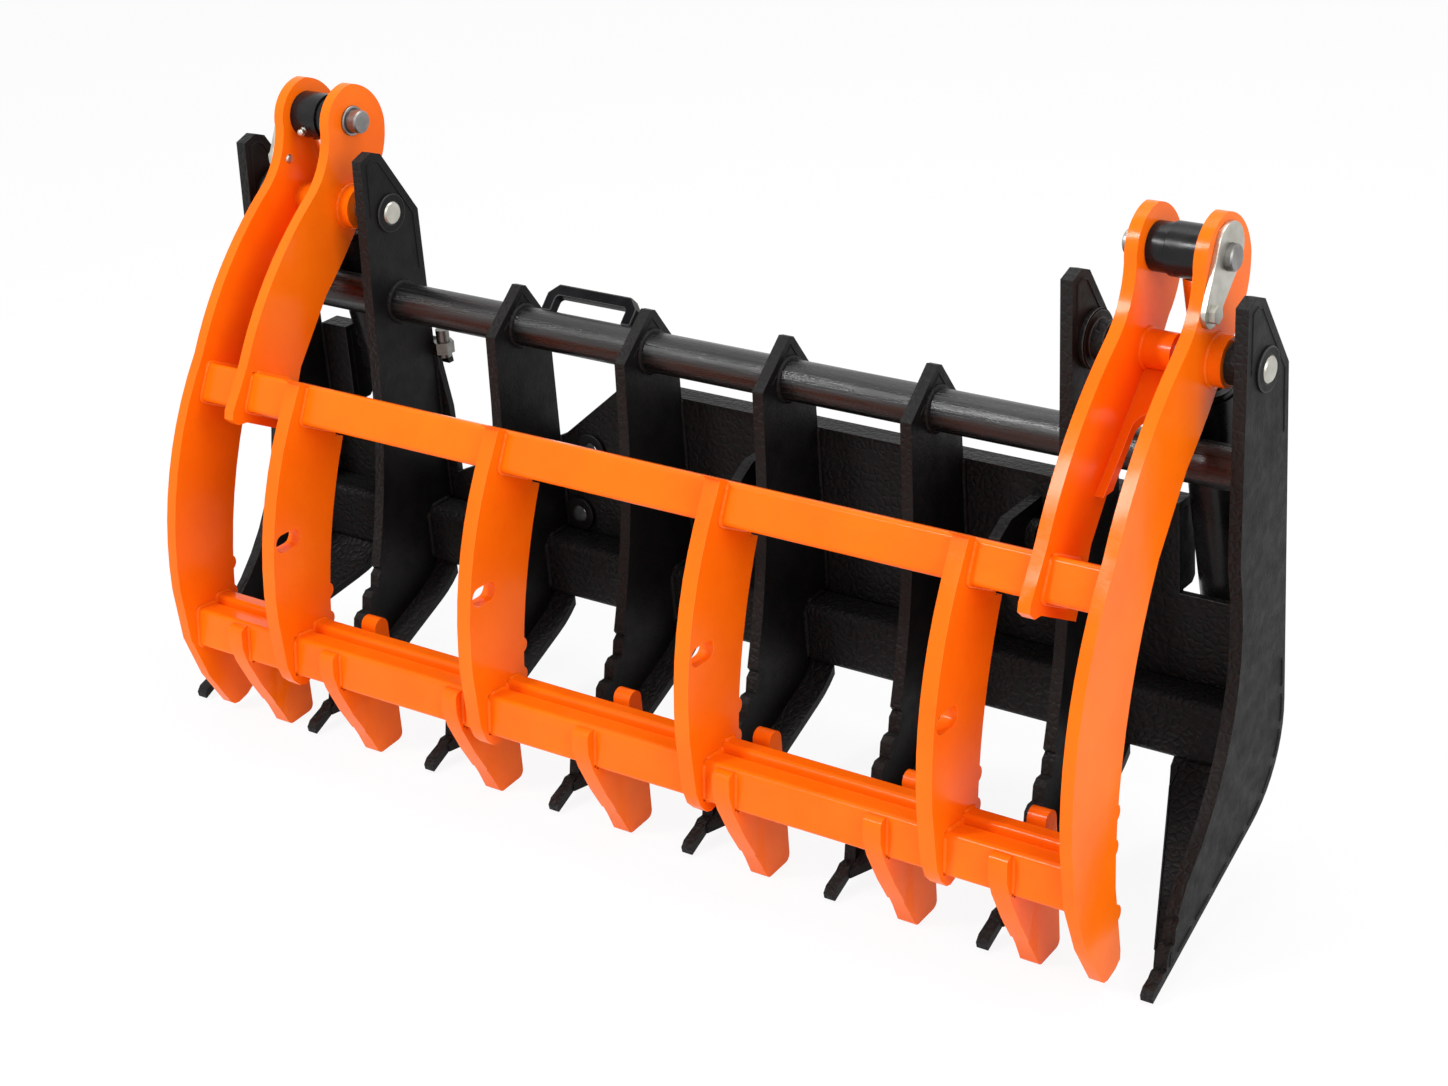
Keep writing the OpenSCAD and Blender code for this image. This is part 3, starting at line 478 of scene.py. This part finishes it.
def weld_seam(shape, bar, plate, face_x, side, radius, limit=None):
    """Bead where a bar goes into a plate's face, on the side that side names."""
    x = face_x + side * CUT_OFFSET
    for loop in cut_loops(bar, x)[:1]:
        def touches(point):
            if limit is not None and not limit(point - PIVOT.yz):
                return False
            found = surface_of(plate).find_nearest(Vector((face_x, point.x, point.y)))
            return found[3] is not None and found[3] < WELD_REACH
        for run, closed in runs_of(even_points(loop, WELD_STEP), touches):
            path = [Vector((face_x + side * 0.15 * radius, p.x, p.y)) for p in run]
            sweep(shape, path, closed, radius, ripple=0.09)


def tine_x(i):
    return -FRAME_W / 2 + TINE_T / 2 + (i - 1) * PITCH


def rib_x(i):
    outer = FRAME_W / 2 - PITCH - TINE_T - RIB_GAP - RIB_T / 2
    return (-outer, -outer / 3, outer / 3, outer)[i - 1]


def tooth_x(i):
    end = FRAME_W / 2 - PITCH + SIDE_GAP + ARM_T / 2
    return (-end, -2 * PITCH, -PITCH, 0, PITCH, 2 * PITCH, end)[i - 1]


def tine_face(i, side):
    return tine_x(i) + side * TINE_T / 2


def before_panel(point):
    return point.x < PANEL_FRONT_Y


def frame_welds():
    shape = bmesh.new()
    for i in range(1, 9):
        for side in (-1, 1):
            if (i == 1 and side < 0) or (i == 8 and side > 0):
                continue
            face = tine_face(i, side)
            weld_seam(shape, "top_pipe", "tine_%d" % i, face, side, PIPE_WELD)
            weld_seam(shape, "lower_tube", "tine_%d" % i, face, side, TUBE_WELD)
            weld_seam(shape, "back_panel", "tine_%d" % i, face, side, PANEL_WELD, before_panel)
    for x in LUG_X:
        for side in (-1, 1):
            face = x + side * LUG_T / 2
            weld_seam(shape, "back_panel", "stiffener_lugs", face, side, PANEL_WELD, before_panel)
    make_piece("weld_beads_frame", shape, "frame", "black_powder_coat")


def claw_welds():
    shape = bmesh.new()
    for beam, radius in (("upper_beam", BEAM_WELD), ("lower_beam", BEAM_WELD), ("back_bar", BAR_WELD)):
        for i in range(1, 5):
            for side in (-1, 1):
                weld_seam(shape, beam, "rib_%d" % i, rib_x(i) + side * RIB_T / 2, side, radius)
        for name, sign in (("left", -1), ("right", 1)):
            weld_seam(shape, beam, "arm_outer_" + name, sign * (OUTER_ARM_X - ARM_T / 2), -sign, radius)
            if beam == "upper_beam":
                for side in (-1, 1):
                    face = sign * INNER_ARM_X + side * ARM_T / 2
                    weld_seam(shape, beam, "arm_inner_" + name, face, side, radius)
    for beam in ("lower_beam", "back_bar"):
        for i in range(1, 8):
            for side in (-1, 1):
                face = tooth_x(i) + side * TOOTH_T / 2
                weld_seam(shape, beam, "tooth_%d" % i, face, side, TOOTH_WELD)
    for name, sign in (("left", -1), ("right", 1)):
        outer, inner = "arm_outer_" + name, "arm_inner_" + name
        weld_seam(shape, outer, outer, sign * (OUTER_ARM_X + ARM_T / 2), sign, ARM_WELD)
        weld_seam(shape, inner, inner, sign * (INNER_ARM_X - ARM_T / 2), -sign, ARM_WELD)
        weld_seam(shape, inner, inner, sign * (INNER_ARM_X + ARM_T / 2), sign, ARM_WELD)
    make_piece("weld_beads_claw", shape, "claw", "orange_paint")


def pulled_in(loop, inset, step):
    """An outline moved inwards by inset, without the points that would cross."""
    points = even_points(loop, step)
    count = len(points)
    turn = sum(points[i - 1].x * points[i].y - points[i].x * points[i - 1].y for i in range(count))
    sign = 1 if turn > 0 else -1
    moved = []
    for i, point in enumerate(points):
        along = (points[(i + 1) % count] - points[i - 1]).normalized()
        moved.append(point + sign * inset * Vector((-along.y, along.x)))
    return [p for p in moved if min((p - q).length for q in points) > inset * 0.93]


def border_lines():
    """Fine raised lines a little inside the outlines of the upright plates."""
    shape = bmesh.new()
    for i in range(1, 9):
        loop = cut_loops("tine_%d" % i, tine_x(i))[0]
        line = pulled_in(loop, BORDER_INSET, 0.003)
        lowest = -0.075 if i in (1, 2, 7, 8) else -0.118

        def on_top(point):
            at = point - PIVOT.yz
            return at.y > lowest and at.x > -0.030

        for side in (-1, 1):
            face = tine_face(i, side)
            for run, closed in runs_of(line, on_top):
                sweep(shape, [Vector((face, p.x, p.y)) for p in run], closed, BORDER_R, sides=6)
    make_piece("border_lines", shape, "frame", "black_powder_coat")


def on_heel(point):
    """On the rear edge of a plate's lower half, or along its lower edge."""
    at = point - PIVOT.yz
    near_low_edge = at.y < -0.512 + (at.x + 0.215) * 0.44
    return at.y < -0.300 and at.x > -0.205 and (at.x > 0 or near_low_edge)


def heel_seams():
    """Broken seam along the lower rear edge of the two end plates."""
    shape = bmesh.new()
    for i, side in ((1, -1), (8, 1)):
        loop = cut_loops("tine_%d" % i, tine_x(i))[0]
        line = pulled_in(loop, HEEL_INSET, 0.0025)
        face = tine_face(i, side)
        for run, _ in runs_of(line, on_heel):
            for start in range(0, len(run) - DASH_POINTS // 2, DASH_PITCH):
                dash = run[start:start + DASH_POINTS]
                sweep(shape, [Vector((face, p.x, p.y)) for p in dash], False, HEEL_R, sides=6)
    make_piece("heel_seams", shape, "frame", "cylinder_black")


def flange_lines():
    """Line a little inside the free edge of the skid flange of each end plate."""
    down = Vector((0, 0, -1))
    shape = bmesh.new()
    for i, side in ((1, 1), (8, -1)):
        face = tine_face(i, side)
        path = []
        for step in range(72):
            y = -0.176 + 0.0025 * step
            flange_width = min(0.084, y + 0.189)
            start = Vector((face + side * (flange_width - FLANGE_INSET), PIVOT.y + y, PIVOT.z - 0.3))
            hit = surface_of("tine_%d" % i).ray_cast(start, down)[0]
            if hit is not None:
                path.append(hit)
        sweep(shape, path, False, FLANGE_R, sides=6)
    make_piece("flange_lines", shape, "frame", "cylinder_black")


def turned(shape, profile, centre, axis, segments=24):
    """Adds a turned form to a bmesh: profile rows of (distance along axis, radius)."""
    axis = Vector(axis).normalized()
    first = axis.orthogonal().normalized()
    second = axis.cross(first)
    rings = []
    for along, radius in profile:
        ring = []
        for k in range(segments):
            angle = 2 * math.pi * k / segments
            spoke = math.cos(angle) * first + math.sin(angle) * second
            ring.append(shape.verts.new(Vector(centre) + along * axis + max(radius, 0.00002) * spoke))
        rings.append(ring)
    for low, high in zip(rings, rings[1:]):
        for k in range(segments):
            shape.faces.new((low[k], low[(k + 1) % segments], high[(k + 1) % segments], high[k]))
    shape.faces.new(rings[0][::-1])
    shape.faces.new(rings[-1])


NIPPLE_HEX = [(0, 0.0042), (0.0022, 0.0042), (0.0026, 0.0038)]
NIPPLE_HEAD = [(0.0020, 0.0030), (0.0036, 0.0028), (0.0046, 0.0040), (0.0062, 0.0045),
               (0.0080, 0.0042), (0.0092, 0.0030), (0.0098, 0.0012)]


def grease_nipples():
    """Nipple on the rim of each rod eye."""
    for name, sign, lean in (("left", -1, (-0.93, -0.37)), ("right", 1, (0.93, -0.37))):
        y, z = (EAR_C[k] + lean[k] * ROD_EYE_R for k in (0, 1))
        centre = PIVOT + Vector((sign * CYLINDER_X, y, z))
        shape = bmesh.new()
        turned(shape, NIPPLE_HEX, centre, (0, *lean), 6)
        turned(shape, NIPPLE_HEAD, centre, (0, *lean))
        make_piece("grease_nipple_" + name, shape, "rod_" + name, "plated_steel")


def slot_flanges():
    """Folded flanges on the two sides of each cylinder slot, behind the back panel."""
    outline = ((PANEL_REAR_Y, -0.262), (0.070, -0.262), (0.076, -0.256),
               (0.076, -0.184), (0.070, -0.178), (PANEL_REAR_Y, -0.178))
    thickness = 0.0075
    shape = bmesh.new()
    for sign in (-1, 1):
        for edge in (-1, 1):
            x = sign * CYLINDER_X + edge * SLOT_SIDE
            near = [shape.verts.new(PIVOT + Vector((x, y, z))) for y, z in outline]
            far = [shape.verts.new(PIVOT + Vector((x + edge * thickness, y, z))) for y, z in outline]
            shape.faces.new(near)
            shape.faces.new(far[::-1])
            for k in range(len(outline)):
                after = (k + 1) % len(outline)
                shape.faces.new((near[k], near[after], far[after], far[k]))
    piece = make_piece("slot_flanges", shape, "frame", "black_powder_coat")
    # Second material: a painted highlight on the bevels.
    piece.data.materials.append(painted_highlight_of_slot["black_powder_coat"])
    soften(piece, EDGE_ROUND, False, True)


PIN_COLLAR = [(-0.0004, 0.0162), (0.0022, 0.0162), (0.0030, 0.0154),
              (0.0030, EAR_PIN_R), (-0.0004, EAR_PIN_R)]


def pin_collars():
    """Ring round the free end of each ear pin, against the inner arm."""
    for name, sign in (("left", -1), ("right", 1)):
        centre = PIVOT + Vector((sign * (INNER_ARM_X - ARM_T / 2), *EAR_C))
        shape = bmesh.new()
        turned(shape, PIN_COLLAR, centre, (-sign, 0, 0), 40)
        make_piece("pin_collar_" + name, shape, "claw", "pin_steel")


# Cylinders: direction from base pin to ear pin, outward side, and turned forms on the barrels
CYLINDER_RUN = Vector((0, EAR_C[0] - BASE_C[0], EAR_C[1] - BASE_C[1])).normalized()
CYLINDER_OUT = Vector((0, CYLINDER_RUN.z, -CYLINDER_RUN.y))
HIGH_PORT = (0.241, 0.036)
LOW_PORT = (0.062, 0.0365)
WIPER_ALONG = 0.2868
ADAPTER_HEX = [(0, 0.0092), (0.0006, 0.0098), (0.0058, 0.0098), (0.0064, 0.0090)]
ADAPTER_NECK = [(-0.004, 0.0048), (0.0060, 0.0066), (0.0105, 0.0066)]
HIGH_CAP = [(0.0080, 0.0078), (0.0086, 0.0084), (0.0185, 0.0084), (0.0197, 0.0074), (0.0200, 0.0030)]
LOW_CAP = [(-0.004, 0.0046), (0.0002, 0.0046), (0.0003, 0.0086), (0.0014, 0.0086),
           (0.0020, 0.0078), (0.0021, 0.0040), (0.0010, 0.0034)]
WIPER_RING = [(-0.0022, 0.0205), (0.0010, 0.0205), (0.0022, 0.0192),
              (0.0028, 0.0172), (0.0022, 0.0163), (-0.0022, 0.0163)]


def on_cylinder(sign, along, outward=0.0):
    """A point on a cylinder at rest, measured from its base pin."""
    return PIVOT + Vector((sign * CYLINDER_X, *BASE_C)) + along * CYLINDER_RUN + outward * CYLINDER_OUT


def port_fittings():
    """Adapter and cap on the upper port of each barrel, and a flat plug in the lower one."""
    for name, sign in (("left", -1), ("right", 1)):
        steel = bmesh.new()
        cap = bmesh.new()
        high = on_cylinder(sign, *HIGH_PORT)
        turned(steel, ADAPTER_HEX, high, CYLINDER_OUT, 6)
        turned(steel, ADAPTER_NECK, high, CYLINDER_OUT)
        turned(cap, HIGH_CAP, high, CYLINDER_OUT)
        turned(cap, LOW_CAP, on_cylinder(sign, *LOW_PORT), CYLINDER_OUT)
        make_piece("port_adapters_" + name, steel, "barrel_" + name, "plated_steel")
        make_piece("port_caps_" + name, cap, "barrel_" + name, "rubber")


def wiper_rings():
    """Ring that the rod runs through at the end of each gland."""
    for name, sign in (("left", -1), ("right", 1)):
        shape = bmesh.new()
        turned(shape, WIPER_RING, on_cylinder(sign, WIPER_ALONG), CYLINDER_RUN, 40)
        make_piece("wiper_ring_" + name, shape, "barrel_" + name, "rubber")


def make_camera():
    data = bpy.data.cameras.new("camera")
    data.sensor_width = SENSOR_MM
    data.lens = LENS_MM
    camera = bpy.data.objects.new("camera", data)
    bpy.context.scene.collection.objects.link(camera)
    forward = Vector(CAMERA_FORWARD).normalized()
    right = forward.cross(Vector(CAMERA_UP)).normalized()
    up = right.cross(forward)
    turn = Matrix((right, up, -forward)).transposed().to_4x4()
    camera.matrix_world = Matrix.Translation(Vector(CAMERA_AT)) @ turn
    bpy.context.scene.camera = camera


def area_light(name, at, size, power):
    """Square light that faces the origin."""
    data = bpy.data.lights.new(name, "AREA")
    data.size = size
    data.energy = power
    light = bpy.data.objects.new(name, data)
    light.location = at
    light.rotation_mode = "QUATERNION"
    light.rotation_quaternion = (-Vector(at)).to_track_quat("-Z", "Y")
    bpy.context.scene.collection.objects.link(light)


def white_to_camera(tree, surface, share=1.0):
    """White for the camera, in reflections and through glass, the plain surface for all else."""
    path = tree.nodes.new("ShaderNodeLightPath")
    seen, seen_through = (tree.nodes.new("ShaderNodeMath") for _ in range(2))
    seen.operation = seen_through.operation = "MAXIMUM"
    part = tree.nodes.new("ShaderNodeMath")
    part.operation = "MULTIPLY"
    part.inputs[1].default_value = share
    white = tree.nodes.new("ShaderNodeEmission" if surface.type != "BACKGROUND" else "ShaderNodeBackground")
    white.inputs["Color"].default_value = (1, 1, 1, 1)
    white.inputs["Strength"].default_value = 1.0
    mix = tree.nodes.new("ShaderNodeMixShader")
    tree.links.new(path.outputs["Is Camera Ray"], seen.inputs[0])
    tree.links.new(path.outputs["Is Glossy Ray"], seen.inputs[1])
    tree.links.new(seen.outputs["Value"], seen_through.inputs[0])
    tree.links.new(path.outputs["Is Transmission Ray"], seen_through.inputs[1])
    tree.links.new(seen_through.outputs["Value"], part.inputs[0])
    tree.links.new(part.outputs["Value"], mix.inputs["Fac"])
    tree.links.new(surface.outputs[0], mix.inputs[1])
    tree.links.new(white.outputs[0], mix.inputs[2])
    return mix.outputs[0]


def make_stage():
    """Pale floor just below the part, and an even white world."""
    bpy.ops.mesh.primitive_plane_add(size=14, location=(0, 0, cad_low.z - 0.001))
    floor = bpy.context.object
    floor.name = "floor"
    material, tree, shader = new_material("floor_white")
    shader.inputs["Base Color"].default_value = (0.92, 0.92, 0.92, 1)
    shader.inputs["Roughness"].default_value = 0.9
    out = tree.nodes["Material Output"]
    tree.links.new(white_to_camera(tree, shader, 0.9), out.inputs["Surface"])
    floor.data.materials.append(material)
    world = bpy.data.worlds.new("studio")
    world.use_nodes = True
    bpy.context.scene.world = world
    sky = world.node_tree.nodes["Background"]
    sky.inputs["Color"].default_value = (1, 1, 1, 1)
    sky.inputs["Strength"].default_value = 0.55
    out = world.node_tree.nodes["World Output"]
    world.node_tree.links.new(white_to_camera(world.node_tree, sky), out.inputs["Surface"])


finish_nodes()
make_camera()
frame_welds()
claw_welds()
border_lines()
heel_seams()
flange_lines()
grease_nipples()
pin_collars()
slot_flanges()
port_fittings()
wiper_rings()
make_stage()
area_light("key", (-1.2, -2.6, 2.6), 0.6, 66)
area_light("fill", (2.8, -1.2, 1.6), 1.8, 44)
area_light("top", (0.2, 0.6, 2.8), 2.0, 45)

bpy.context.scene.view_settings.view_transform = "Standard"
